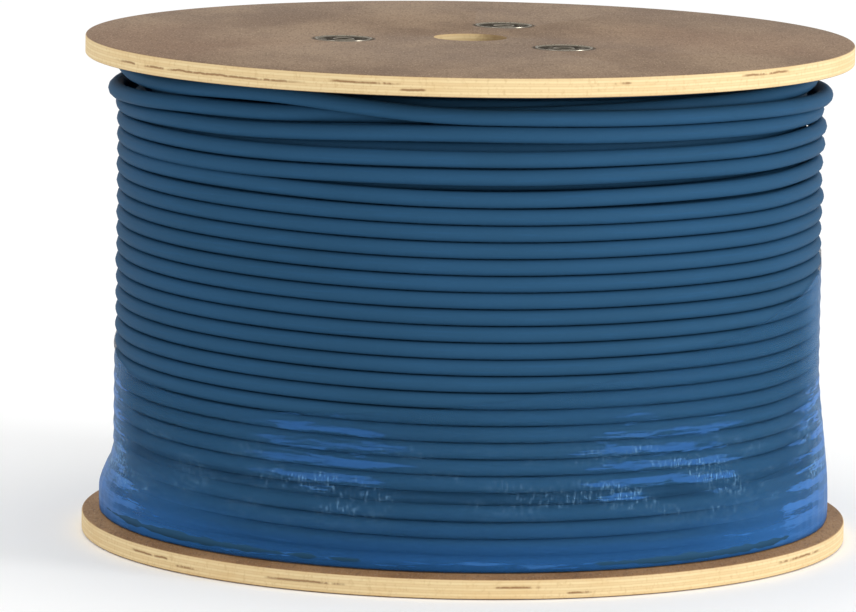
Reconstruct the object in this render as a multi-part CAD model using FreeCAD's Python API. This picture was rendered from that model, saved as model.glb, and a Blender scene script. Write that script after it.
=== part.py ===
import FreeCAD, Part

# A plywood cable reel standing on one flange: two round flanges clamped on a fibreboard core
# tube by three long carriage bolts and tee nuts, wound full of round data cable, with a band
# of clear stretch film round the lower turns. Millimetres, +Z up along the reel's axis,
# origin at the centre of the lower flange's outer face.

import math
import os

Vector = FreeCAD.Vector
UP = Vector(0, 0, 1)

# ---- driving dimensions ----------------------------------------------------------------
# flanges: round plywood discs with a spindle hole and three bolt holes
flange_diameter = 400.0
flange_thickness = 10.0
flange_edge_round = 1.0
traverse = 240.0                 # clear width between the flanges
arbor_hole_diameter = 38.0

# core: spiral-wound fibreboard tube, its ends let into both flanges
core_diameter = 162.0
core_wall = 5.0
core_seat_web = 1.0              # wood left between the core's seat and the bolt head recesses
core_seat_clearance = 0.25

# cable: round sheathed data cable in level layers
cable_diameter = 8.3
layer_sink = 0.5                 # how far a layer sinks between the turns below it
bare_rim = 17.0                  # the least that the flanges stand out past the winding
core_to_cable_gap = 0.3

# two slack turns that stand out from the last layer, most of all behind the reel's front
slack_turn_reveal = 0.2          # how far a slack turn stands out where it lies closest
slack_turn_clearance = 0.2
upper_turn_gap = 12.0            # between the turn and the upper flange
upper_turn_offset = (0.0, 5.0)
lower_turn_gap = 2.0             # between the turn and the lower flange
lower_turn_offset = (-2.0, 5.5)

# the cable's inner end comes slantwise through the core's wall, just under the upper flange
lead_hole_clearance = 0.5
lead_hole_angle = 120.0
lead_slant = 50.0                # between the cable and the core's radius
lead_inside = 18.0               # along the cable, from the middle of the wall
lead_outside = 12.0

# stretch film: a band wrapped round the lower turns, its upper edge lying askew
film_thickness = 0.4
film_clearance = 0.3
film_foot_gap = 0.5              # above the lower flange
film_upper_edge = 115.0          # above the lower flange's inner face, on the axis
film_edge_rise = (0.137, 0.164)  # rise per millimetre towards +X and towards +Y
film_skirt_over_turn = 2.0       # the skirt stands straight up to this far over the turn
film_skirt_taper = 26.0

# tie bolts: three carriage bolts and tee nuts on one circle
bolt_count = 3
bolt_circle_diameter = 136.0
first_bolt_angle = 75.0
bolt_diameter = 8.0
bolt_hole_clearance = 0.3        # on the radius
bolt_head_diameter = 19.0
bolt_head_height = 4.0
bolt_neck_length = 3.0           # square part under the head
bolt_neck_clearance = 0.2
bolt_end_gap = 3.0               # the bolt's end stops this far under the upper face
thread_clearance = 0.15

# washers under the bolt heads, sunk with them into the lower flange
washer_diameter = 28.0
washer_thickness = 1.5
washer_recess_clearance = 0.5
head_recess_gap = 0.5            # the heads stay this far inside the flange

# tee nuts: pressed steel, a dished base with four prongs and a threaded barrel
nut_base_diameter = 30.0
nut_sheet = 1.2
nut_dish_depth = 1.6
nut_dish_floor_diameter = 22.0
nut_rim_height = 0.3             # the rim stands proud of the upper flange
nut_barrel_wall = 1.1
nut_barrel_length = 8.6
nut_collar_drop = 0.1            # the barrel's lip, below the upper face
nut_collar_wall = 1.6
nut_recess_clearance = 0.2
nut_hole_clearance = 0.2
prong_count = 4
prong_circle_diameter = 19.0
prong_width = 3.0
prong_length = 4.0
prong_clearance = 0.1

# ---- worked out from them ---------------------------------------------------------------
core_radius = core_diameter / 2
core_inner_radius = core_radius - core_wall
cable_radius = cable_diameter / 2
layer_pitch = cable_diameter - layer_sink
winding_depth = flange_diameter / 2 - bare_rim - core_radius
winding_layers = 1 + math.floor((winding_depth - cable_diameter) / layer_pitch)
winding_radius = core_radius + cable_diameter + (winding_layers - 1) * layer_pitch
upper_face_z = 2 * flange_thickness + traverse
winding_top_z = flange_thickness + traverse
upper_turn_z = winding_top_z - upper_turn_gap - cable_radius
lower_turn_z = flange_thickness + lower_turn_gap + cable_radius
nut_barrel_bore_radius = bolt_diameter / 2 + thread_clearance
nut_barrel_radius = nut_barrel_bore_radius + nut_barrel_wall
nut_floor_underside = nut_dish_depth + nut_sheet
washer_recess_depth = head_recess_gap + bolt_head_height + washer_thickness
core_seat_depth = flange_thickness - washer_recess_depth - core_seat_web


def rod(radius, bottom, top, centre=(0.0, 0.0)):
    """An upright cylinder between two heights."""
    return Part.makeCylinder(radius, top - bottom, Vector(centre[0], centre[1], bottom), UP)


def ring(outer_radius, inner_radius, bottom, top):
    return rod(outer_radius, bottom, top).cut(rod(inner_radius, bottom - 1, top + 1))


def turned(points):
    """The solid that a closed outline of (radius, height) points makes when spun round Z."""
    outline = Part.makePolygon([Vector(r, 0, z) for r, z in points + points[:1]])
    return Part.Face(outline).revolve(Vector(0, 0, 0), UP, 360)


def square_rod(side, bottom, top):
    corner = Vector(-side / 2, -side / 2, bottom)
    return Part.makeBox(side, side, top - bottom, corner)


def bolt_places():
    """The bolts' angles and centres, numbered from the first one anticlockwise."""
    places = []
    for number in range(bolt_count):
        angle = first_bolt_angle + number * 360.0 / bolt_count
        reach = bolt_circle_diameter / 2
        centre = Vector(reach * math.cos(math.radians(angle)), reach * math.sin(math.radians(angle)), 0)
        places.append((number + 1, angle, centre))
    return places


def set_at_bolt(shape, angle, centre):
    """A copy of a shape made on the axis, turned to face outwards and moved to a bolt."""
    moved = shape.copy()
    moved.rotate(Vector(0, 0, 0), UP, angle)
    moved.translate(centre)
    return moved


def drilled(flange, cutter):
    """The flange with the same hole cut at every bolt."""
    for _, angle, centre in bolt_places():
        flange = flange.cut(set_at_bolt(cutter, angle, centre))
    return flange


def plain_flange(bottom, core_seat_from, core_seat_to):
    """A plywood disc with eased rims, the spindle hole and the core tube's groove."""
    disc = rod(flange_diameter / 2, bottom, bottom + flange_thickness)
    rims = [edge for edge in disc.Edges if isinstance(edge.Curve, Part.Circle)]
    disc = disc.makeFillet(flange_edge_round, rims)
    disc = disc.cut(rod(arbor_hole_diameter / 2, bottom - 1, bottom + flange_thickness + 1))
    groove_outer = core_radius + core_seat_clearance
    groove_inner = core_inner_radius - core_seat_clearance
    return disc.cut(ring(groove_outer, groove_inner, core_seat_from, core_seat_to))


def prongs(side_clearance, end_clearance):
    """The nut's four prongs, standing down from its base; with clearance, their pockets."""
    top = upper_face_z - nut_floor_underside
    blades = []
    for number in range(prong_count):
        blade = Part.makeBox(
            nut_sheet + 2 * side_clearance,
            prong_width + 2 * side_clearance,
            prong_length + end_clearance,
            Vector(
                prong_circle_diameter / 2 - nut_sheet / 2 - side_clearance,
                -prong_width / 2 - side_clearance,
                top - prong_length - end_clearance,
            ),
        )
        blade.rotate(Vector(0, 0, 0), UP, 45.0 + number * 360.0 / prong_count)
        blades.append(blade)
    return blades


def tee_nut():
    """A pressed tee nut on the axis: dished base, rolled collar, barrel and prongs."""
    face = upper_face_z
    rim = nut_base_diameter / 2
    floor = nut_dish_floor_diameter / 2
    collar = nut_barrel_bore_radius + nut_collar_wall
    outline = [
        (nut_barrel_bore_radius, face - nut_collar_drop - 0.4),
        (nut_barrel_bore_radius + 0.4, face - nut_collar_drop),
        (collar - 0.4, face - nut_collar_drop),
        (collar, face - nut_collar_drop - 0.4),
        (collar + 0.3, face - nut_dish_depth),
        (floor, face - nut_dish_depth),
        (rim - 0.9, face + nut_rim_height),
        (rim - 0.3, face + nut_rim_height),
        (rim, face + nut_rim_height - 0.3),
        (rim, face - 0.5),
        (floor + 0.5, face - nut_floor_underside),
        (nut_barrel_radius, face - nut_floor_underside),
        (nut_barrel_radius, face - nut_barrel_length),
        (nut_barrel_bore_radius, face - nut_barrel_length),
    ]
    nut = turned(outline)
    return nut.fuse(prongs(0.0, 0.0)).removeSplitter()


def tie_bolt():
    """A carriage bolt on the axis: low domed head, square neck and a plain-bodied shank."""
    head_bottom = head_recess_gap
    head_top = head_bottom + bolt_head_height
    head_radius = bolt_head_diameter / 2
    dome_radius = (head_radius ** 2 + bolt_head_height ** 2) / (2 * bolt_head_height)
    dome = Part.makeSphere(dome_radius, Vector(0, 0, head_bottom + dome_radius))
    head = dome.common(rod(head_radius + 1, head_bottom - 1, head_top))
    neck_top = head_top + washer_thickness + bolt_neck_length
    neck = square_rod(bolt_diameter, head_top, neck_top)
    shank = rod(bolt_diameter / 2, head_top, upper_face_z - bolt_end_gap)
    tip_edge = max(shank.Edges, key=lambda edge: edge.BoundBox.ZMin)
    shank = shank.makeChamfer(0.8, [tip_edge])
    return head.fuse([neck, shank]).removeSplitter()


def bolt_washer():
    """A round washer on the axis, square-holed for the bolt's neck."""
    bottom = head_recess_gap + bolt_head_height
    disc = rod(washer_diameter / 2, bottom, bottom + washer_thickness)
    hole = square_rod(bolt_diameter + 2 * bolt_neck_clearance, bottom - 1, bottom + washer_thickness + 1)
    return disc.cut(hole)


def top_flange():
    """The upper flange, with a sunk seat for each tee nut, its barrel and its prongs."""
    flange = plain_flange(winding_top_z, winding_top_z - 1, winding_top_z + core_seat_depth)
    seat_radius = nut_base_diameter / 2 + nut_recess_clearance
    flange = drilled(flange, rod(seat_radius, upper_face_z - nut_floor_underside, upper_face_z + 1))
    flange = drilled(flange, rod(nut_barrel_radius + nut_hole_clearance, winding_top_z - 1, upper_face_z + 1))
    for pocket in prongs(prong_clearance, prong_clearance):
        flange = drilled(flange, pocket)
    return flange


def bottom_flange():
    """The lower flange, with each bolt's head and washer sunk into its outer face."""
    flange = plain_flange(0.0, flange_thickness - core_seat_depth, flange_thickness + 1)
    recess_radius = washer_diameter / 2 + washer_recess_clearance
    flange = drilled(flange, rod(recess_radius, -1, washer_recess_depth))
    neck_side = bolt_diameter + 2 * bolt_neck_clearance
    neck_end = washer_recess_depth + bolt_neck_length + bolt_neck_clearance
    flange = drilled(flange, square_rod(neck_side, washer_recess_depth - 1, neck_end))
    return drilled(flange, rod(bolt_diameter / 2 + bolt_hole_clearance, -1, flange_thickness + 1))


def lead_rod(radius, inside, outside):
    """A level rod along the line on which the cable's inner end goes through the core."""
    angle = math.radians(lead_hole_angle)
    slant = math.radians(lead_hole_angle + lead_slant)
    along = Vector(math.cos(slant), math.sin(slant), 0)
    middle = Vector(math.cos(angle), math.sin(angle), 0) * (core_radius - core_wall / 2)
    middle.z = winding_top_z - cable_radius - lead_hole_clearance
    return Part.makeCylinder(radius, inside + outside, middle - along * inside, along)


def core_tube():
    """The fibreboard tube, let into both flanges, with the hole for the cable's inner end."""
    bottom = flange_thickness - core_seat_depth
    top = winding_top_z + core_seat_depth
    tube = ring(core_radius, core_inner_radius, bottom, top)
    hole = lead_rod(cable_radius + lead_hole_clearance, lead_inside, lead_outside)
    return tube.cut(hole)


def slack_turn(offset, middle_z, grown_by=0.0):
    """One turn that lies off the axis, so that it stands out on the side it is moved to."""
    radius = winding_radius + math.hypot(*offset) + slack_turn_reveal - cable_radius
    centre = Vector(offset[0], offset[1], middle_z)
    return Part.makeTorus(radius, cable_radius + grown_by, centre, UP)


def cable_inner_end(grown_by=0.0):
    """The start of the cable, from the first layer through the core's wall into the hollow."""
    return lead_rod(cable_radius + grown_by, lead_inside, lead_outside)


def cable_winding():
    """The level layers as one closed body, grooved where the slack turns lie in it."""
    body = ring(winding_radius, core_radius + core_to_cable_gap, flange_thickness, winding_top_z)
    body = body.cut(slack_turn(upper_turn_offset, upper_turn_z, slack_turn_clearance))
    body = body.cut(slack_turn(lower_turn_offset, lower_turn_z, slack_turn_clearance))
    return body.cut(cable_inner_end(slack_turn_clearance))


def film_body(outer_by):
    """The space inside the film, grown by a distance: a drum with a skirt over the slack turn."""
    foot = flange_thickness + film_foot_gap
    skirt_top = lower_turn_z + cable_radius + film_skirt_over_turn
    drum_radius = winding_radius + film_clearance + outer_by
    skirt_radius = drum_radius + math.hypot(*lower_turn_offset) + slack_turn_reveal
    skirt_centre = Vector(lower_turn_offset[0], lower_turn_offset[1], skirt_top)
    drum_centre = Vector(0, 0, skirt_top + film_skirt_taper)
    wide_circle = Part.Wire(Part.makeCircle(skirt_radius, skirt_centre, UP))
    drum_circle = Part.Wire(Part.makeCircle(drum_radius, drum_centre, UP))
    taper = Part.makeLoft([wide_circle, drum_circle], True, True)
    skirt = rod(skirt_radius, foot, skirt_top, lower_turn_offset)
    drum = rod(drum_radius, foot, winding_top_z)
    return drum.fuse([skirt, taper]).removeSplitter()


def above_film_edge():
    """Everything above the tilted plane in which the film's upper edge lies."""
    side = 2 * flange_diameter
    block = Part.makeBox(side, side, side, Vector(-side / 2, -side / 2, 0))
    rise_x, rise_y = film_edge_rise
    normal = Vector(-rise_x, -rise_y, 1)
    turn = FreeCAD.Rotation(UP, normal)
    edge_point = Vector(0, 0, flange_thickness + film_upper_edge)
    block.Placement = FreeCAD.Placement(edge_point, turn)
    return block


def stretch_film():
    """The wrapped film as one thin closed skin."""
    skin = film_body(film_thickness).cut(film_body(0.0))
    return skin.cut(above_film_edge())


def save(shape, node):
    if not shape.isValid():
        raise ValueError(node + " is not a valid solid")
    if len(shape.Solids) != 1:
        raise ValueError(node + " is not one solid")
    shape.Solids[0].exportStep("parts/" + node + ".step")
    box = shape.optimalBoundingBox()
    sides = [round(side, 2) for side in (box.XLength, box.YLength, box.ZLength)]
    print(node, round(shape.Volume), "mm3, sides", sides)


os.makedirs("parts", exist_ok=True)
print(winding_layers, "layers, winding radius", round(winding_radius, 2))
save(bottom_flange(), "bottom_flange")
save(top_flange(), "top_flange")
save(core_tube(), "core_tube")
save(cable_winding(), "cable_winding")
save(slack_turn(upper_turn_offset, upper_turn_z), "cable_upper_slack_turn")
save(slack_turn(lower_turn_offset, lower_turn_z), "cable_lower_slack_turn")
save(cable_inner_end(), "cable_inner_end")
save(stretch_film(), "stretch_film")
for number, angle, centre in bolt_places():
    save(set_at_bolt(tie_bolt(), angle, centre), "tie_bolt_" + str(number))
    save(set_at_bolt(bolt_washer(), angle, centre), "bolt_washer_" + str(number))
    save(set_at_bolt(tee_nut(), angle, centre), "tee_nut_" + str(number))
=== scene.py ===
import math

import bmesh
import bpy
from mathutils import Matrix, Vector, noise


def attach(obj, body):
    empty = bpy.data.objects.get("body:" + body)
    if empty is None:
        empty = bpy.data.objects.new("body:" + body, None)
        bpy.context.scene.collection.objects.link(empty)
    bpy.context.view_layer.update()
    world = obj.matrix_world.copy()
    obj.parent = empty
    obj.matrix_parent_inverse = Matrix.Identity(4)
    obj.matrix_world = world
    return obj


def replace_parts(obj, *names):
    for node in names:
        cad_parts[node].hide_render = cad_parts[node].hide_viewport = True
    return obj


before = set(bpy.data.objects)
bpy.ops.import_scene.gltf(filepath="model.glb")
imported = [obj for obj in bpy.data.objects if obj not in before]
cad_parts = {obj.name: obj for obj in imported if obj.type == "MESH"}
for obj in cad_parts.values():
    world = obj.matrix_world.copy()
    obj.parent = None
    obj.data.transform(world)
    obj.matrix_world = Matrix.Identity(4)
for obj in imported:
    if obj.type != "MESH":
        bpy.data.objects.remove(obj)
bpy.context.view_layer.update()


# ---- the studio --------------------------------------------------------------------------
# The reel stands on a plain white floor under an even white sky, with two tall soft panels
# low at its left and right. The camera stands well back with a long lens, looking down
# by eight degrees.
camera_place = Vector((0.0, -3.4029, 0.5999))
camera_lens = 276.2
camera_turn = math.radians(-0.335)
camera_dip = math.radians(8.054)
camera_roll = math.radians(0.89)
floor_drop = 0.0003                 # keeps the floor clear of the lower flange's underside


def aimed_camera():
    level_right = Vector((math.cos(camera_turn), -math.sin(camera_turn), 0))
    ahead = Vector((math.sin(camera_turn) * math.cos(camera_dip),
                    math.cos(camera_turn) * math.cos(camera_dip),
                    -math.sin(camera_dip)))
    level_up = level_right.cross(ahead)
    right = math.cos(camera_roll) * level_right + math.sin(camera_roll) * level_up
    up = -math.sin(camera_roll) * level_right + math.cos(camera_roll) * level_up
    data = bpy.data.cameras.new("camera")
    data.lens = camera_lens
    data.sensor_width = 36.0
    data.clip_end = 200.0
    camera = bpy.data.objects.new("camera", data)
    axes = Matrix((right, up, -ahead)).transposed().to_4x4()
    camera.matrix_world = Matrix.Translation(camera_place) @ axes
    bpy.context.scene.collection.objects.link(camera)
    bpy.context.scene.camera = camera


def soft_panel(name, place, aim, width, height, power):
    data = bpy.data.lights.new(name, "AREA")
    data.shape = "RECTANGLE"
    data.size = width
    data.size_y = height
    data.energy = power
    panel = bpy.data.objects.new(name, data)
    direction = Vector(aim) - Vector(place)
    turned = direction.to_track_quat("-Z", "Y").to_matrix().to_4x4()
    panel.matrix_world = Matrix.Translation(place) @ turned
    bpy.context.scene.collection.objects.link(panel)


aimed_camera()
soft_panel("panel_left", (-2.1, -2.3, 0.75), (0, 0, 0.13), 0.6, 1.4, 6)
soft_panel("panel_right", (2.9, -1.25, 0.8), (0, 0, 0.13), 0.8, 1.5, 50)
soft_panel("panel_front", (0.5, -4.2, 0.75), (0, 0, 0.13), 2.2, 1.2, 6)

world = bpy.data.worlds.new("sky")
world.use_nodes = True
world.node_tree.nodes["Background"].inputs["Color"].default_value = (1, 1, 1, 1)
world.node_tree.nodes["Background"].inputs["Strength"].default_value = 1.03
bpy.context.scene.world = world
bpy.context.scene.view_settings.view_transform = "Standard"


def tone(red, green, blue):
    """A colour given as a screen shows it, as the shader's linear one."""
    def linear(level):
        share = level / 255
        return share / 12.92 if share <= 0.04045 else ((share + 0.055) / 1.055) ** 2.4
    return (linear(red), linear(green), linear(blue), 1.0)


class Wire:
    """A node's output, with the sums that add Math nodes behind it."""

    def __init__(self, finish, socket):
        self.finish = finish
        self.socket = socket

    def sum(self, operation, *values):
        sockets = dict(enumerate(values))
        return self.finish.node("ShaderNodeMath", {"operation": operation}, sockets)

    def __add__(self, other):
        return self.sum("ADD", self, other)

    def __radd__(self, other):
        return self.sum("ADD", other, self)

    def __sub__(self, other):
        return self.sum("SUBTRACT", self, other)

    def __rsub__(self, other):
        return self.sum("SUBTRACT", other, self)

    def __mul__(self, other):
        return self.sum("MULTIPLY", self, other)

    def __rmul__(self, other):
        return self.sum("MULTIPLY", other, self)

    def __truediv__(self, other):
        return self.sum("DIVIDE", self, other)

    def __abs__(self):
        return self.sum("ABSOLUTE", self)


class Finish:
    """One material, and the one way in which its nodes are added."""

    def __init__(self, name):
        self.material = bpy.data.materials.new(name)
        self.material.use_nodes = True
        self.material.node_tree.nodes.clear()
        self.place = self.node("ShaderNodeTexCoord", out="Object")
        self.facing = self.node("ShaderNodeTexCoord", out="Normal")

    def node(self, kind, settings=None, sockets=None, out=0):
        tree = self.material.node_tree
        made = tree.nodes.new(kind)
        for setting, value in (settings or {}).items():
            if setting == "stops":
                self.set_stops(made.color_ramp, value)
            else:
                setattr(made, setting, value)
        for key, value in (sockets or {}).items():
            entry = self.find(made.inputs, key)
            if isinstance(value, Wire):
                tree.links.new(value.socket, entry)
            else:
                entry.default_value = value
        if len(made.outputs) == 0:
            return None
        return Wire(self, self.find(made.outputs, out))

    def find(self, sockets, key):
        if isinstance(key, int):
            return sockets[key]
        for socket in sockets:
            if socket.identifier == key:
                return socket
        return sockets[key]

    def set_stops(self, ramp, stops):
        while len(ramp.elements) < len(stops):
            ramp.elements.new(1.0)
        for element, (position, colour) in zip(ramp.elements, stops):
            element.position = position
            element.color = colour

    def axis(self, name, of=None):
        return self.node("ShaderNodeSeparateXYZ", None, {"Vector": of or self.place}, out=name)

    def stretched(self, scale):
        return self.node("ShaderNodeMapping", None, {"Vector": self.place, "Scale": scale})

    def noise(self, scale, stretch=(1, 1, 1), detail=3.0, roughness=0.5):
        sockets = {"Vector": self.stretched(stretch), "Scale": scale,
                   "Detail": detail, "Roughness": roughness}
        return self.node("ShaderNodeTexNoise", None, sockets, out="Fac")

    def towards(self, degrees, half_width, soft, radius):
        """1 within so many degrees of a bearing from the axis, 0 outside."""
        angle = math.radians(degrees)
        share = (self.axis("X") * math.cos(angle) + self.axis("Y") * math.sin(angle)) / radius
        outside = math.cos(math.radians(half_width + soft))
        return self.passage(share, outside, math.cos(math.radians(half_width)))

    def passage(self, value, start, end):
        """0 before start, 1 after end, smooth between."""
        sockets = {"Value": value, "From Min": start, "From Max": end}
        settings = {"interpolation_type": "SMOOTHSTEP"}
        return self.node("ShaderNodeMapRange", settings, sockets, out="Result")

    def mix(self, share, first, second, blend="MIX"):
        settings = {"data_type": "RGBA", "blend_type": blend}
        sockets = {"Factor_Float": share, "A_Color": first, "B_Color": second}
        return self.node("ShaderNodeMix", settings, sockets, out="Result_Color")

    def bump(self, height, distance, strength=1.0):
        sockets = {"Height": height, "Distance": distance, "Strength": strength}
        return self.node("ShaderNodeBump", None, sockets, out="Normal")

    def surface(self, sockets):
        shader = self.node("ShaderNodeBsdfPrincipled", None, sockets, out="BSDF")
        self.node("ShaderNodeOutputMaterial", None, {"Surface": shader})
        return self.material


def plain_floor():
    finish = Finish("floor_white")
    mottle = finish.noise(3.0)
    colour = finish.mix(mottle, (0.965, 0.965, 0.96, 1), (0.985, 0.985, 0.98, 1))
    material = finish.surface({"Base Color": colour, "Roughness": 0.9})
    bm = bmesh.new()
    bmesh.ops.create_grid(bm, x_segments=1, y_segments=1, size=30.0)
    bmesh.ops.translate(bm, vec=(0, 0, -floor_drop), verts=bm.verts)
    mesh = bpy.data.meshes.new("floor")
    bm.to_mesh(mesh)
    bm.free()
    mesh.materials.append(material)
    floor = bpy.data.objects.new("floor", mesh)
    bpy.context.scene.collection.objects.link(floor)


plain_floor()


# ---- flanges -----------------------------------------------------------------------------
# Two round discs sawn from 10 mm plywood of seven plies, with a spindle hole and eased rims.
# The lower one is sunk for the bolt heads and washers, the upper one for the tee nuts, and
# both have a turned groove 3 mm deep that takes the end of the core tube.
flange_radius = 0.200
flange_thickness = 0.010
flange_edge_round = 0.0010
arbor_radius = 0.019
upper_face = 0.260
traverse_low = 0.010
traverse_high = 0.250
core_outer = 0.081
core_inner = 0.076
seat_depth = 0.003
seat_clearance = 0.00025
bolt_circle_radius = 0.068
bolt_angles = (75, 195, 315)
bore_easing = 0.0004
nut_seat_radius = 0.0154
nut_seat_depth = 0.0028
nut_barrel_hole = 0.00545
washer_seat_radius = 0.0145
washer_seat_depth = 0.006
bolt_hole_radius = 0.0043
neck_hole_side = 0.0084
neck_hole_top = 0.0092
overcut = 0.001                     # how far a cutter reaches past the face it opens


def spun(outline, steps=96):
    """A closed solid turned about Z from a closed outline of (radius, height) points."""
    bm = bmesh.new()
    verts = [bm.verts.new((radius, 0, height)) for radius, height in outline]
    edges = [bm.edges.new((verts[i - 1], verts[i])) for i in range(len(verts))]
    bmesh.ops.spin(bm, geom=verts + edges, cent=(0, 0, 0), axis=(0, 0, 1),
                   angle=2 * math.pi, steps=steps, use_merge=True)
    bmesh.ops.remove_doubles(bm, verts=bm.verts, dist=1e-6)
    bmesh.ops.dissolve_degenerate(bm, edges=bm.edges, dist=1e-6)
    bmesh.ops.recalc_face_normals(bm, faces=bm.faces)
    return bm


def eased(bm, chosen, width, segments=3):
    """Rounds the edges for which chosen(edge) holds."""
    edges = [edge for edge in bm.edges if chosen(edge)]
    bmesh.ops.bevel(bm, geom=edges, offset=width, offset_type="OFFSET", segments=segments,
                    profile=0.5, affect="EDGES", material=-1)
    return bm


def at_radius(radius):
    """Picks the edge loops that run round the axis at one radius."""
    def chosen(edge):
        ends = [math.hypot(vert.co.x, vert.co.y) for vert in edge.verts]
        level = abs(edge.verts[0].co.z - edge.verts[1].co.z) < 1e-6
        return level and all(abs(end - radius) < 1e-5 for end in ends)
    return chosen


def at_bolt(bm, degrees):
    """Turns a shape made on the axis and moves it to a bolt's place."""
    angle = math.radians(degrees)
    away = Vector((math.cos(angle), math.sin(angle), 0)) * bolt_circle_radius
    turned = Matrix.Translation(away) @ Matrix.Rotation(angle, 4, "Z")
    bmesh.ops.transform(bm, matrix=turned, verts=bm.verts)
    return bm


def mesh_of(bm, name, sharp_from=32):
    mesh = bpy.data.meshes.new(name)
    bm.to_mesh(mesh)
    bm.free()
    for polygon in mesh.polygons:
        polygon.use_smooth = True
    mesh.set_sharp_from_angle(angle=math.radians(sharp_from))
    return mesh


def shown(name, mesh, material):
    """Puts a finished mesh in the scene as a piece of the reel."""
    mesh.materials.clear()
    mesh.materials.append(material)
    made = bpy.data.objects.new(name, mesh)
    bpy.context.scene.collection.objects.link(made)
    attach(made, "root")
    return made


def drilled(bm, name, cutters, sharp_from=32):
    """Takes the cutters' shapes out of a body and returns the mesh."""
    body = bpy.data.objects.new(name, mesh_of(bm, name, sharp_from))
    bpy.context.scene.collection.objects.link(body)
    tools = []
    for cutter in cutters:
        tool = bpy.data.objects.new("cutter", mesh_of(cutter, "cutter"))
        bpy.context.scene.collection.objects.link(tool)
        tools.append(tool)
        cut = body.modifiers.new("cut", "BOOLEAN")
        cut.operation = "DIFFERENCE"
        cut.solver = "EXACT"
        cut.object = tool
    ready = body.evaluated_get(bpy.context.evaluated_depsgraph_get())
    mesh = bpy.data.meshes.new_from_object(ready)
    for used in tools + [body]:
        bpy.data.objects.remove(used)
    mesh.name = name
    for polygon in mesh.polygons:
        polygon.use_smooth = True
    mesh.set_sharp_from_angle(angle=math.radians(sharp_from))
    return mesh


def blank_flange(low, inner_face, seat_end):
    """One disc with its core groove, its spindle hole and its eased rims."""
    high = low + flange_thickness
    wide = core_outer + seat_clearance
    narrow = core_inner - seat_clearance
    groove = [(narrow, inner_face), (narrow, seat_end), (wide, seat_end), (wide, inner_face)]
    if inner_face > seat_end:
        outline = [(arbor_radius, low), (flange_radius, low), (flange_radius, high)]
        outline += groove[::-1] + [(arbor_radius, high)]
    else:
        outline = [(arbor_radius, low)] + groove + [(flange_radius, low)]
        outline += [(flange_radius, high), (arbor_radius, high)]
    bm = spun(outline, steps=320)
    eased(bm, at_radius(flange_radius), flange_edge_round, 4)
    return eased(bm, at_radius(arbor_radius), bore_easing, 2)


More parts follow.
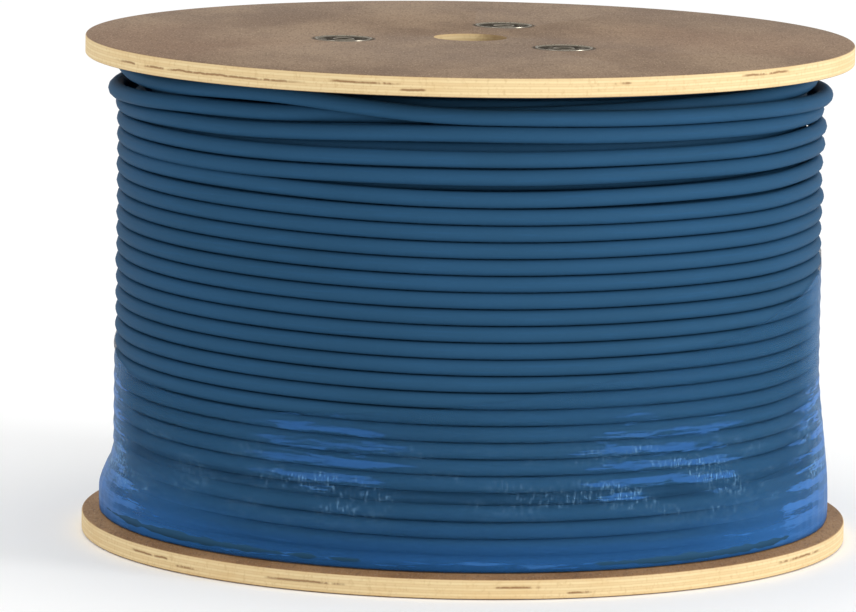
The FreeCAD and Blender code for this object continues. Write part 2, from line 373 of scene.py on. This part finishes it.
def plywood(name, low, face_dark, face_light, splits):
    """Rotary-cut veneer on the faces; seven plies on the edges, with faint glue lines. A painted
    shadow ring round each tee nut and painted shade on one side of the spindle hole.
    """
    finish = Finish(name)
    upright = abs(finish.axis("Z", finish.facing))
    on_face = finish.passage(upright, 0.55, 0.85)

    figure = finish.noise(16.0, (1.0, 0.5, 1), 5.0, 0.65)
    blotch = finish.noise(5.0, (1.0, 0.8, 1), 2.0, 0.5)
    fibre = finish.noise(70.0, (3.0, 0.35, 1), 3.0, 0.6)
    fleck = finish.noise(520.0, (1.3, 0.24, 1), 3.0, 0.7)
    grit = finish.noise(900.0, (1.2, 0.35, 1), 1.0, 0.5)
    face = finish.mix(finish.passage(figure, 0.33, 0.67), face_dark, face_light)
    face = finish.mix(finish.passage(blotch, 0.4, 0.65) * 0.25, face, tone(150, 112, 84))
    face = finish.mix(finish.passage(fibre, 0.5, 0.72) * 0.2, face, tone(104, 80, 60))
    face = finish.mix(finish.passage(fleck, 0.5, 0.64) * 0.34, face, tone(92, 70, 52))
    face = finish.mix(finish.passage(grit, 0.55, 0.7) * 0.3, face, tone(190, 166, 138))
    knot = finish.node("ShaderNodeTexVoronoi", {"feature": "F1"},
                       {"Vector": finish.stretched((1.5, 0.7, 1)), "Scale": 7.0}, out="Distance")
    face = finish.mix(finish.passage(knot, 0.06, 0.02) * 0.3, face, tone(92, 66, 46))

    # Painted shadow: a dark ring on the face round each tee nut's seat, for the shadow line in the
    # gap between the nut's rim and the wood.
    for degrees in bolt_angles:
        angle = math.radians(degrees)
        nut_middle = (bolt_circle_radius * math.cos(angle),
                      bolt_circle_radius * math.sin(angle), upper_face)
        away = finish.node("ShaderNodeVectorMath", {"operation": "DISTANCE"},
                           {0: finish.place, 1: nut_middle}, out="Value")
        painted_seat_shadow = finish.passage(away + (fleck - 0.5) * 0.0016, 0.0172, 0.0157)
        face = finish.mix(painted_seat_shadow * 0.9, face, tone(52, 40, 30))

    waver = finish.noise(13.0, (1, 1, 0.0), 3.0, 0.6)
    height = (finish.axis("Z") - low) / flange_thickness + (waver - 0.5) * 0.09
    pale = tone(221, 199, 153)
    warm = tone(215, 190, 144)
    glue = tone(208, 180, 134)
    stops = [(0.0, warm)]
    for number, line in enumerate((0.14, 0.29, 0.43, 0.57, 0.71, 0.86)):
        inner = warm if number % 2 else pale
        outer = pale if number % 2 else warm
        stops += [(line - 0.03, outer), (line, glue), (line + 0.03, inner)]
    stops.append((1.0, warm))
    edge = finish.node("ShaderNodeValToRGB", {"stops": stops}, {"Fac": height}, out="Color")
    end_grain = finish.noise(480.0, (1, 1, 0.7), 2.0, 0.7)
    edge = finish.mix(finish.passage(end_grain, 0.5, 0.75) * 0.3, edge, tone(176, 140, 92))
    stain = finish.noise(20.0, (1, 1, 5), 4.0, 0.65)
    edge = finish.mix(finish.passage(stain, 0.45, 0.72) * 0.4, edge, tone(206, 172, 120))
    worn = finish.passage(abs(height - 0.5), 0.40, 0.5) * finish.passage(stain, 0.4, 0.6)
    edge = finish.mix(worn * 0.35, edge, tone(170, 132, 88))
    along = finish.noise(60.0, (1, 1, 0.6), 4.0, 0.7)
    gap = 0.0
    for bearing, half_width, level in splits:
        middle = abs(height - level - (along - 0.5) * 0.22)
        gap = gap + (finish.towards(bearing, half_width, half_width * 0.4, flange_radius)
                     * finish.passage(middle, 0.085, 0.02) * finish.passage(along, 0.36, 0.5))
    edge = finish.mix(gap * 0.8, edge, tone(126, 88, 52))
    # Painted shade: the edge colour inside the spindle hole is painted darker on its +X side,
    # where the hole's wall lies in shade.
    from_axis = finish.node("ShaderNodeVectorMath", {"operation": "LENGTH"},
                            {0: finish.stretched((1, 1, 0))}, out="Value")
    bore = finish.passage(from_axis, 0.03, 0.025)
    painted_bore_shade = bore * finish.passage(finish.axis("X") + (end_grain - 0.5) * 0.006, 0.001, 0.013)
    edge = finish.mix(painted_bore_shade * 0.75, edge, tone(128, 100, 66))

    colour = finish.mix(on_face, edge, face)
    relief = on_face * (fibre * 0.4 + fleck * 0.6)
    relief = relief + (1 - on_face) * (end_grain * 0.5 - gap * 1.5)
    return finish.surface({
        "Base Color": colour,
        "Roughness": 0.62 + fleck * 0.18,
        "Specular IOR Level": 0.2,
        "Normal": finish.bump(relief, 0.0003, 0.5),
    })


def upper_flange():
    nut_seats = []
    below = traverse_high - overcut
    floor = upper_face - nut_seat_depth
    above = upper_face + overcut
    outline = [(0, below), (nut_barrel_hole, below), (nut_barrel_hole, floor),
               (nut_seat_radius, floor), (nut_seat_radius, above), (0, above)]
    for degrees in bolt_angles:
        nut_seats.append(at_bolt(spun(outline, 64), degrees))
    blank = blank_flange(traverse_high, traverse_high, traverse_high + seat_depth)
    mesh = drilled(blank, "upper_flange", nut_seats)
    splits = ((226, 15, 0.45), (255, 4, 0.6), (292, 1.2, 0.7), (318, 4, 0.75), (262, 1.5, 0.3),
              (20, 7, 0.5), (64, 3, 0.35), (100, 9, 0.55), (141, 2, 0.6), (168, 6, 0.4))
    wood = plywood("plywood_upper", traverse_high, tone(116, 93, 72), tone(142, 118, 93), splits)
    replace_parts(shown("upper_flange", mesh, wood), "top_flange")


def lower_flange():
    head_seats = []
    above = traverse_low + overcut
    outline = [(0, -overcut), (washer_seat_radius, -overcut),
               (washer_seat_radius, washer_seat_depth), (bolt_hole_radius, washer_seat_depth),
               (bolt_hole_radius, above), (0, above)]
    corner = neck_hole_side / math.sqrt(2)
    neck_low = washer_seat_depth - overcut
    neck_outline = [(0, neck_low), (corner, neck_low), (corner, neck_hole_top),
                    (0, neck_hole_top)]
    for degrees in bolt_angles:
        head_seats.append(at_bolt(spun(outline, 64), degrees))
        square = spun(neck_outline, 4)
        bmesh.ops.rotate(square, cent=(0, 0, 0), matrix=Matrix.Rotation(math.pi / 4, 3, "Z"),
                         verts=square.verts)
        head_seats.append(at_bolt(square, degrees))
    blank = blank_flange(0.0, traverse_low, traverse_low - seat_depth)
    mesh = drilled(blank, "lower_flange", head_seats)
    splits = ((218, 4, 0.6), (226, 2, 0.35), (247, 5, 0.5), (278, 3, 0.6), (287, 1.5, 0.3),
              (330, 5, 0.65), (12, 4, 0.4), (50, 8, 0.5), (96, 3, 0.6), (150, 10, 0.45))
    wood = plywood("plywood_lower", 0.0, tone(134, 98, 62), tone(168, 130, 88), splits)
    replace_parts(shown("lower_flange", mesh, wood), "bottom_flange")


upper_flange()
lower_flange()


# ---- core tube ---------------------------------------------------------------------------
# A spiral-wound fibreboard tube, its ends let 3 mm into both flanges. The board is brown
# kraft paper, wound on at a slant, so a seam runs round it like a screw's thread.
def core_board():
    finish = Finish("core_board")
    angle = finish.node("ShaderNodeMath", {"operation": "ARCTAN2"},
                        {0: finish.axis("Y"), 1: finish.axis("X")})
    rise = finish.axis("Z") / 0.11 + angle / (2 * math.pi)
    seam = finish.node("ShaderNodeMath", {"operation": "PINGPONG"}, {0: rise, 1: 0.5})
    line = finish.passage(seam, 0.02, 0.006)
    fibre = finish.noise(90.0, (1, 1, 4.0), 4.0, 0.65)
    speck = finish.noise(700.0, (1, 1, 1), 2.0, 0.5)
    colour = finish.mix(fibre, tone(150, 118, 84), tone(182, 150, 112))
    colour = finish.mix(finish.passage(speck, 0.6, 0.75) * 0.4, colour, tone(108, 82, 56))
    colour = finish.mix(line * 0.6, colour, tone(92, 68, 46))
    return finish.surface({
        "Base Color": colour,
        "Roughness": 0.8 + fibre * 0.1,
        "Normal": finish.bump(fibre * 0.6 - line, 0.0003, 0.5),
    })


board = core_board()
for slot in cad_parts["core_tube"].material_slots:
    slot.material = board


# ---- cable -------------------------------------------------------------------------------
# About 296 m of round data cable, 8.3 mm over its smooth blue sheath, wound in thirteen
# layers that run down and up the core by turns. It starts in the hollow core, comes out
# under the upper flange, and ends on the lowest turn of the last layer, behind the reel.
cable_radius = 0.00415
layer_pitch = 0.0078
first_layer_radius = core_outer + cable_radius
turn_pitch = 0.00835
lowest_turn = traverse_low + cable_radius
highest_turn = traverse_high - cable_radius
layer_turns = (highest_turn - lowest_turn) / turn_pitch
layer_count = 13


def sheath():
    finish = Finish("cable_sheath")
    cloud = finish.noise(11.0, (1, 1, 2.5), 3.0, 0.55)
    streak = finish.noise(150.0, (0.25, 0.25, 6.0), 2.0, 0.6)
    scuff = finish.noise(60.0, (0.5, 0.5, 5.0), 5.0, 0.7)
    grain = finish.noise(1800.0, (1, 1, 1), 1.0, 0.5)
    colour = finish.mix(cloud, tone(35, 69, 95), tone(41, 79, 111))
    colour = finish.mix(finish.passage(streak, 0.5, 0.75) * 0.22, colour, tone(42, 86, 126))
    colour = finish.mix(finish.passage(scuff, 0.66, 0.8) * 0.18, colour, tone(70, 112, 150))
    return finish.surface({
        "Base Color": colour,
        "Roughness": 0.52 + streak * 0.16,
        "Specular IOR Level": 0.035,
        "Normal": finish.bump(grain * 0.4 + streak * 0.6, 0.0001, 0.25),
    })


def eased_share(share):
    share = min(max(share, 0.0), 1.0)
    return share * share * (3 - 2 * share)


def keyed(keys, turn):
    """A value that passes smoothly from key to key as the turns go on."""
    if turn <= keys[0][0]:
        return keys[0][1]
    for (start, low), (end, high) in zip(keys, keys[1:]):
        if turn < end:
            return low + (high - low) * eased_share((turn - start) / (end - start))
    return keys[-1][1]


# Turns of the two outer layers are counted from the front of the first turn of the last
# layer: below -0.5 the cable is still rising in the layer underneath. These keys say, in
# millimetres, how far the cable lies off its even height and off its layer's radius there.
last_layer_rise = ((-0.5, 11.1), (-0.25, 12.8), (-0.175, 10.5), (-0.094, 13.9), (0.0, 7.8),
                   (0.108, 6.9), (0.25, 5.2), (0.35, 3.4), (0.5, 3.6), (0.6, 2.6), (0.7, 0.4),
                   (0.76, 0.2), (0.867, 2.7), (1.0, 7.8), (1.108, 7.0), (1.25, 5.0), (1.6, 2.6),
                   (1.75, 0.3), (1.867, 1.3), (2.0, 3.4), (2.108, 4.5), (2.25, 4.4), (2.5, 1.4),
                   (2.75, 0.6), (2.867, 0.8), (3.0, 2.8), (3.108, 4.5), (3.5, 1.0),
                   (3.75, 0.6), (3.867, 1.1), (4.0, 0.0), (4.108, 1.2),
                   (4.5, 0.0), (21.08, 0.0), (21.6, -6.1), (22.5, -6.6), (25.0, -6.7),
                   (25.45, -2.9))
last_layer_stand = ((-0.6, 0.0), (-0.4, 1.0), (0.0, 1.4), (0.12, 2.0), (0.25, 6.0),
                    (0.5, 10.2), (0.62, 7.5), (0.72, 2.4), (0.8, 1.0), (2.1, 1.2),
                    (2.25, 2.8), (2.4, 1.2), (3.1, 1.2), (3.25, 2.0), (3.4, 1.2),
                    (6.1, 1.2), (6.25, 2.0), (6.4, 1.2), (24.45, 1.2), (24.75, 8.0),
                    (25.0, 1.0), (25.25, 6.0), (25.45, 11.0))
last_layer_lean = 0.0007
under_layer_rise = ((-1.45, 0.0), (-1.33, -2.2), (-1.25, -4.2), (-1.133, -1.9), (-1.0, 0.0),
                    (-0.89, 1.6), (-0.75, 2.8), (-0.5, 3.625))
under_layer_stand = ((-1.5, 0.0), (-1.25, 13.0), (-1.175, 12.5), (-1.133, 7.8),
                     (-1.094, 7.6), (-1.05, 0.8), (-1.0, 0.0), (-0.9, 0.8), (-0.8, 6.0),
                     (-0.65, 7.8))
outer_turn_pitch = 0.00838
fourth_turn_height = 0.197          # of the last layer, at the front
under_layer_height = 0.238          # of the layer underneath, one turn before the last begins
front_sag = 0.0014
right_lift = 0.0014
right_stand = 0.0012


def right_side(angle):
    """1 at the far right of the winding, 0 from a third of a right angle away."""
    return eased_share((math.cos(angle) - 0.82) / 0.15)


def outer_place(turn):
    """The cable's middle in the two outer layers."""
    angle = 2 * math.pi * (turn - 0.25)
    if turn < -0.5:
        height = under_layer_height + turn_pitch * (turn + 1)
        height += 0.001 * keyed(under_layer_rise, turn)
        radius = first_layer_radius + (layer_count - 2) * layer_pitch
        radius += 0.001 * keyed(under_layer_stand, turn)
        radius += right_stand * right_side(angle) * (1 - eased_share((turn + 1.2) / 0.3))
    else:
        height = fourth_turn_height - outer_turn_pitch * (turn - 4)
        height += 0.001 * keyed(last_layer_rise, turn)
        off_front = math.remainder(turn, 1.0)
        sides = 1 - math.exp(-((off_front / 0.09) ** 2))
        sides *= eased_share(turn - 3.3) * (1 - eased_share((turn - 24.2) / 0.4))
        height += front_sag * sides
        height += right_lift * right_side(angle) * eased_share(turn - 0.5)
        radius = first_layer_radius + (layer_count - 1) * layer_pitch
        radius += 0.001 * keyed(last_layer_stand, turn) + last_layer_lean * math.cos(angle)
        around = Vector((math.cos(angle), math.sin(angle), 0.9 * turn))
        radius += 0.00045 * noise.noise(around * 1.3)
        height += 0.00012 * noise.noise(around * 1.7 + Vector((7, 0, 0)))
    height = min(max(height, lowest_turn), highest_turn)
    return Vector((radius * math.cos(angle), radius * math.sin(angle), height))


def inner_place(turn):
    """The cable's middle in the layers underneath, turns counted from its start."""
    layer = min(int(turn / layer_turns), layer_count - 3)
    share = turn / layer_turns - layer
    height = highest_turn + (lowest_turn - highest_turn) * (share if layer % 2 == 0 else 1 - share)
    climb = eased_share((share * layer_turns - (layer_turns - 0.35)) / 0.35)
    radius = first_layer_radius + (layer + climb) * layer_pitch
    since = turn - inner_first_turn
    height += (exit_height - height) * (1 - eased_share(since))
    radius += exit_stand * (1 - eased_share(since / 0.12))
    angle = 2 * math.pi * (turn + inner_start)
    return Vector((radius * math.cos(angle), radius * math.sin(angle), height))


outer_start = -1 - (under_layer_height - lowest_turn) / turn_pitch
inner_turns = (layer_count - 2) * layer_turns
inner_start = outer_start - 0.25 - inner_turns
exit_bearing = 126.06               # where the cable's start has come out of the core
exit_height = traverse_high - cable_radius - 0.0005
exit_stand = 0.00155
inner_first_turn = (exit_bearing / 360 - inner_start) % 1.0


def run_of_points(place, start, end, turns_apart):
    """Control points along the cable; a spline's end lies half way between two of them."""
    count = max(2, round((end - start) / turns_apart))
    step = (end - start) / count
    widen = 1 / math.cos(math.pi * step)
    points = [place(start)]
    for number in range(count):
        middle = place(start + (number + 0.5) * step)
        points.append(Vector((middle.x * widen, middle.y * widen, middle.z)))
    points.append(place(end))
    return points


def cable_piece(name, runs, bevel_resolution, resolution, material):
    curve = bpy.data.curves.new(name, "CURVE")
    curve.dimensions = "3D"
    curve.bevel_depth = cable_radius
    curve.bevel_resolution = bevel_resolution
    curve.resolution_u = resolution
    curve.twist_mode = "Z_UP"
    curve.use_fill_caps = True
    for points in runs:
        spline = curve.splines.new("NURBS")
        spline.points.add(len(points) - 1)
        for control, place in zip(spline.points, points):
            control.co = (place.x, place.y, place.z, 1.0)
        spline.order_u = 3
        spline.use_endpoint_u = True
    curve.materials.append(material)
    made = bpy.data.objects.new(name, curve)
    bpy.context.scene.collection.objects.link(made)
    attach(made, "root")
    return made


blue_sheath = sheath()
slack_start = 0.3
slack_end = 0.7
lower_slack_start = 24.55
cable_end_turn = 25.45
fine_step = 1 / 48
coarse_step = 1 / 24
inner_run = run_of_points(inner_place, inner_first_turn, inner_turns, coarse_step)
rising_run = run_of_points(outer_place, outer_start, slack_start, fine_step)
upper_slack_run = run_of_points(outer_place, slack_start, slack_end, fine_step)
falling_run = run_of_points(outer_place, slack_end, lower_slack_start, fine_step)
lower_slack_run = run_of_points(outer_place, lower_slack_start, cable_end_turn, fine_step)
inner_layers = cable_piece("cable_inner_layers", [inner_run], 2, 1, blue_sheath)
outer_layers = cable_piece("cable_outer_layers", [rising_run, falling_run], 4, 2, blue_sheath)
upper_slack = cable_piece("upper_slack_turn", [upper_slack_run], 4, 2, blue_sheath)
lower_slack = cable_piece("lower_slack_turn", [lower_slack_run], 4, 2, blue_sheath)
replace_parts(inner_layers, "cable_winding")
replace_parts(outer_layers, "cable_winding")
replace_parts(upper_slack, "cable_upper_slack_turn")
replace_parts(lower_slack, "cable_lower_slack_turn")


def inner_end():
    """The cable's start: from the hollow core slantwise through its wall."""
    angle = math.radians(120)
    slant = math.radians(170)
    along = Vector((math.cos(slant), math.sin(slant), 0))
    wall = Vector((math.cos(angle), math.sin(angle), 0)) * 0.0785
    wall.z = exit_height
    points = [wall + along * reach for reach in (-0.018, -0.011, -0.004, 0.004, 0.012)]
    made = cable_piece("cable_inner_end", [points], 5, 4, blue_sheath)
    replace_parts(made, "cable_inner_end")


inner_end()


# ---- stretch film ------------------------------------------------------------------------
# A band of clear stretch film wound tight round the lower turns, to hold the cable's end.
# It lies on the crowns of the turns and sinks a little between them, its foot stands out
# over the slack turn, and its upper edge runs askew with a thin gathered edge.
film_radius = 0.1844
film_foot = 0.0106
film_skipped = 0.0066               # height that the slack turn's crossing takes out
film_skip_at = 0.0475


def film_edge(x, y):
    return 0.125 + 0.137 * x + 0.164 * y


# Patches of painted highlight on the film: bearing and half width in degrees, middle height and
# reach in metres.
highlight_patches = ((248, 3, 0.067, 0.017), (303, 4, 0.068, 0.020), (184, 6, 0.055, 0.034),
                 (352, 7, 0.055, 0.032), (32, 3, 0.070, 0.026), (81, 4, 0.082, 0.030),
                 (126, 3, 0.066, 0.026), (158, 2, 0.100, 0.018))


def film_finish():
    """Clear film, tinted blue. Its gloss is painted: brighter, more opaque blue patches and
    streaks round the turns are painted highlight, for the lamps' reflections, and a denser band
    low down and at the sides is painted reflection of the white floor and surroundings.
    """
    finish = Finish("stretch_film")
    height = finish.axis("Z")
    bearing = finish.node("ShaderNodeMath", {"operation": "ARCTAN2"},
                          {0: finish.axis("Y"), 1: finish.axis("X")}) / (2 * math.pi)
    skipped = finish.passage(height, film_skip_at, film_skip_at - 0.001) * film_skipped
    phase = (height + skipped - fourth_turn_height) / outer_turn_pitch + bearing + 0.25
    crown = finish.node("ShaderNodeMath", {"operation": "COSINE"}, {0: phase * (2 * math.pi)})
    feather = finish.noise(22.0, (1.0, 1.0, 16.0), 6.0, 0.72) * 0.62
    feather = feather + finish.noise(64.0, (1.0, 1.0, 9.0), 4.0, 0.7) * 0.38
    drift = finish.noise(26.0, (1, 1, 3.0), 3.0, 0.6)
    wander = (drift - 0.5) * 0.04
    # Painted highlight: the patches, the foot band and the crowns of the turns raise the streaks,
    # which are painted more opaque and a lighter blue, for the lamps' reflections in the film.
    painted_gloss = 0.0
    for middle_bearing, half_width, middle, reach in highlight_patches:
        level = abs(height - middle + wander)
        painted_gloss = painted_gloss + (finish.towards(middle_bearing, half_width, 19, film_radius)
                         * finish.passage(level, reach + 0.016, reach - 0.008))
    foot = finish.passage(height, 0.044, 0.014)
    painted_gloss = finish.node("ShaderNodeMath", {"operation": "MINIMUM"},
                        {0: painted_gloss + foot * 0.72, 1: 1.0})
    streak = finish.passage(feather + crown * 0.05 + (painted_gloss - 1) * 0.30, 0.475, 0.55)
    # Painted reflection: the film is made more opaque low down (low, foot_strip), more on the
    # crowns there, and at the left and right sides (sides), for the white floor and surroundings
    # that it reflects.
    low = finish.passage(height, 0.072, 0.022)
    sides = finish.passage(abs(finish.axis("X")), 0.10, 0.165)
    edge_on = finish.node("ShaderNodeLayerWeight", None, {"Blend": 0.5}, out="Facing")
    foot_strip = finish.passage(height, 0.026, 0.015)
    crinkle = finish.noise(420.0, (1.0, 1.0, 0.28), 3.0, 0.7)
    hatch = finish.noise(1100.0, (1.0, 1.0, 0.3), 2.0, 0.6)
    tick = finish.passage(hatch, 0.52, 0.66) * finish.passage(drift, 0.46, 0.6)
    tick = tick * finish.passage(abs(height - 0.058 + wander), 0.03, 0.010)
    alpha = 0.05 + painted_gloss * 0.08 + streak * 0.36 + tick * 0.08 + foot_strip * 0.3
    alpha = alpha + low * (0.10 + crown * 0.08 + sides * 0.36)
    alpha = alpha + finish.passage(edge_on, 0.62, 0.92) * 0.5
    # Painted reflection near the foot and painted highlight in the streaks: both are a brighter
    # blue.
    colour = finish.mix(foot, tone(48, 94, 136), tone(44, 98, 158))
    colour = finish.mix(streak, colour, tone(56, 108, 170))
    colour = finish.mix(tick, colour, tone(110, 156, 196))
    relief = crinkle * 0.12 + feather * 0.88
    return finish.surface({
        "Base Color": colour,
        "Roughness": 0.3 + crinkle * 0.14,
        "Alpha": finish.node("ShaderNodeMath", {"operation": "MINIMUM"}, {0: alpha, 1: 0.92}),
        "Specular IOR Level": 0.03,
        "Normal": finish.bump(relief, 0.0006, 0.4),
    })


def film_band():
    columns = 480
    rows = 60
    bm = bmesh.new()
    bmesh.ops.create_grid(bm, x_segments=columns, y_segments=rows, size=0.5)
    for vert in bm.verts:
        angle = 2 * math.pi * (vert.co.x + 0.5)
        share = vert.co.y + 0.5
        cos, sin = math.cos(angle), math.sin(angle)
        ragged = 0.0012 * noise.noise(Vector((cos * 9, sin * 9, 2)))
        ragged += 0.0004 * noise.noise(Vector((cos * 40, sin * 40, 5)))
        top = film_edge(film_radius * cos, film_radius * sin) + ragged
        height = film_foot + (top - film_foot) * share
        skipped = film_skipped * eased_share((film_skip_at - height) / 0.001)
        phase = (height + skipped - fourth_turn_height) / outer_turn_pitch
        phase += angle / (2 * math.pi) + 0.25
        radius = film_radius + 0.00018 * (math.cos(2 * math.pi * phase) - 1)
        radius += last_layer_lean * cos
        skirt = 0.1848 + 0.0018 * cos * cos + 0.0055 * sin + cable_radius + 0.0004
        taper = 0.024 + 0.050 * eased_share(cos)
        flare = 1 - eased_share((height - 0.0215) / taper)
        radius += max(skirt - radius, 0) * flare
        radius -= 0.0003 * (1 - eased_share((height - film_foot) / 0.0045))
        folds = noise.noise(Vector((cos * 26, sin * 26, height * 30)))
        radius += 0.00025 * folds * (0.4 + flare)
        radius += 0.0002 * eased_share((share - 0.985) / 0.015)
        vert.co = Vector((radius * cos, radius * sin, height))
    bmesh.ops.remove_doubles(bm, verts=bm.verts, dist=1e-5)
    bmesh.ops.recalc_face_normals(bm, faces=bm.faces)
    film = shown("stretch_film_band", mesh_of(bm, "stretch_film_band", 180), film_finish())
    wall = film.modifiers.new("thickness", "SOLIDIFY")
    wall.thickness = 0.0001
    wall.offset = 1.0
    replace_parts(film, "stretch_film")


film_band()


# ---- tie bolts ---------------------------------------------------------------------------
# Three long M8 carriage bolts, zinc-plated steel, that clamp the flanges on the core. Each
# has a low domed head sunk into the lower flange, a square neck that stops it from turning,
# and a rolled thread at its upper end, which stops 3 mm under the upper face.
head_radius = 0.0095
head_low = 0.0005
head_high = 0.0045
neck_side = 0.008
neck_top = 0.0085
shank_low = 0.006
shank_radius = 0.0039
bolt_top = 0.257
thread_low = 0.230
thread_pitch = 0.00125
thread_root = 0.0034
thread_crest = 0.0040


def plated(name, dark, light, roughness, shade_below=None):
    finish = Finish(name)
    cloud = finish.noise(160.0, (1, 1, 1), 3.0, 0.6)
    rub = finish.noise(900.0, (1, 1, 0.3), 2.0, 0.6)
    spot = finish.noise(420.0, (1, 1, 1), 2.0, 0.7)
    colour = finish.mix(cloud, dark, light)
    colour = finish.mix(finish.passage(spot, 0.66, 0.78) * 0.5, colour, tone(96, 90, 84))
    metal = 1.0
    gloss = roughness + rub * 0.16
    # Painted shade: below shade_below the plating is painted dark brown, rough and not metallic,
    # standing in for the shade and dark reflections in the hollow of a nut's dish.
    if shade_below:
        painted_dish_shade = finish.passage(finish.axis("Z"), shade_below + 0.0003, shade_below - 0.0003)
        painted_dish_shade = painted_dish_shade * (0.5 + finish.passage(cloud, 0.3, 0.55) * 0.45)
        colour = finish.mix(painted_dish_shade, colour, tone(46, 40, 33))
        metal = 1 - painted_dish_shade
        gloss = gloss + painted_dish_shade * 0.5
    return finish.surface({
        "Base Color": colour,
        "Metallic": metal,
        "Specular IOR Level": 0.1,
        "Specular Tint": (0.5, 0.48, 0.45, 1),
        "Roughness": gloss,
        "Normal": finish.bump(rub, 0.00005, 0.3),
    })


def thread_ridge(low, high, root, crest, pitch, steps=20):
    """A rolled thread's ridge as one closed helix of three-cornered section."""
    bm = bmesh.new()
    half = pitch * 0.42
    corners = [(root, -half), (crest, -pitch * 0.06), (crest, pitch * 0.06), (root, half)]
    verts = [bm.verts.new((radius, 0, low + height)) for radius, height in corners]
    face = bm.faces.new(verts)
    turns = (high - low) / pitch
    count = round(steps * turns)
    bmesh.ops.spin(bm, geom=[face] + list(face.edges) + verts, cent=(0, 0, 0), axis=(0, 0, 1),
                   angle=2 * math.pi * turns, steps=count, dvec=(0, 0, (high - low) / count))
    bmesh.ops.recalc_face_normals(bm, faces=bm.faces)
    return bm


def joined(parts):
    """Several closed shapes as one."""
    whole = bmesh.new()
    for part in parts:
        held = bpy.data.meshes.new("part")
        part.to_mesh(held)
        part.free()
        whole.from_mesh(held)
        bpy.data.meshes.remove(held)
    return whole


def tie_bolt():
    dome = []
    for step in range(9):
        swing = math.radians(90 * step / 8)
        height = head_high - (head_high - head_low) * math.sin(swing)
        dome.append((head_radius * math.cos(swing) ** 0.75 if step < 8 else 0.0, height))
    rim = [(0, head_high), (head_radius - 0.0003, head_high)]
    head = spun(rim + dome, 72)
    corner = neck_side / math.sqrt(2)
    neck_end = neck_top + 0.0005
    neck = spun([(0, head_high), (corner, head_high), (corner, neck_top),
                 (0.0038, neck_end), (0, neck_end)], 4)
    bmesh.ops.rotate(neck, cent=(0, 0, 0), matrix=Matrix.Rotation(math.pi / 4, 3, "Z"),
                     verts=neck.verts)
    shank = spun([(0, shank_low), (shank_radius, shank_low),
                  (shank_radius, thread_low - 0.001), (thread_root, thread_low),
                  (thread_root, bolt_top - 0.0008), (0.0028, bolt_top), (0, bolt_top)], 40)
    ridge = thread_ridge(thread_low + 0.0005, bolt_top - 0.0012, thread_root - 0.0001,
                         thread_crest, thread_pitch)
    return joined([head, neck, shank, ridge])


zinc = plated("zinc_steel", tone(150, 150, 150), tone(196, 196, 192), 0.26)
for number, degrees in enumerate(bolt_angles, 1):
    mesh = mesh_of(at_bolt(tie_bolt(), degrees), "carriage_bolt")
    bolt = shown("carriage_bolt_" + str(number), mesh, zinc)
    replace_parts(bolt, "tie_bolt_" + str(number))
    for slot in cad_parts["bolt_washer_" + str(number)].material_slots:
        slot.material = zinc


# ---- tee nuts ----------------------------------------------------------------------------
# Three pressed steel tee nuts, nickel-plated, hammered into the upper flange. Each has a
# dished base with a raised rim, four prongs folded down out of it into the wood, and a
# threaded barrel drawn down out of its middle, which takes the bolt's end.
nut_sheet = 0.0012
prong_size = (nut_sheet, 0.003, 0.0046)
prong_ring_radius = 0.0095
prong_tip_share = 0.25


def tee_nut():
    top = upper_face
    outline = [
        (0.00415, top - 0.0086), (0.00525, top - 0.0086), (0.00525, top - 0.0034),
        (0.0059, top - 0.0028), (0.0112, top - 0.0028), (0.0128, top - 0.0019),
        (0.0141, top - 0.0009), (0.0149, top - 0.0006), (0.0150, top - 0.0001),
        (0.0149, top + 0.0003), (0.0145, top + 0.0003), (0.0138, top + 0.00005),
        (0.0124, top - 0.0008), (0.0112, top - 0.0015), (0.0106, top - 0.0016),
        (0.0070, top - 0.0016), (0.0063, top - 0.0013), (0.0058, top - 0.0005),
        (0.0054, top), (0.0050, top + 0.0001), (0.0046, top),
        (0.00415, top - 0.0008),
    ]
    body = spun(outline, 96)
    parts = [body]
    for number in range(4):
        angle = math.radians(45 + 90 * number)
        prong = bmesh.new()
        bmesh.ops.create_cube(prong, size=1.0)
        bmesh.ops.scale(prong, vec=prong_size, verts=prong.verts)
        for vert in prong.verts:
            if vert.co.z < 0:
                vert.co.y *= prong_tip_share
        shift = Matrix.Translation((prong_ring_radius, 0, top - nut_seat_depth - 0.0017))
        bmesh.ops.transform(prong, matrix=Matrix.Rotation(angle, 4, "Z") @ shift,
                            verts=prong.verts)
        parts.append(prong)
    parts.append(thread_ridge(top - 0.0080, top - 0.0014, 0.0043, thread_crest, thread_pitch))
    return joined(parts)


# The nuts' dishes are painted dark below the upper face: painted shade in their hollows.
nickel = plated("nickel_steel", tone(128, 120, 108), tone(176, 168, 152), 0.2,
                shade_below=upper_face - 0.0001)
for number, degrees in enumerate(bolt_angles, 1):
    mesh = mesh_of(at_bolt(tee_nut(), degrees), "pressed_nut")
    nut = shown("pressed_nut_" + str(number), mesh, nickel)
    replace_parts(nut, "tee_nut_" + str(number))
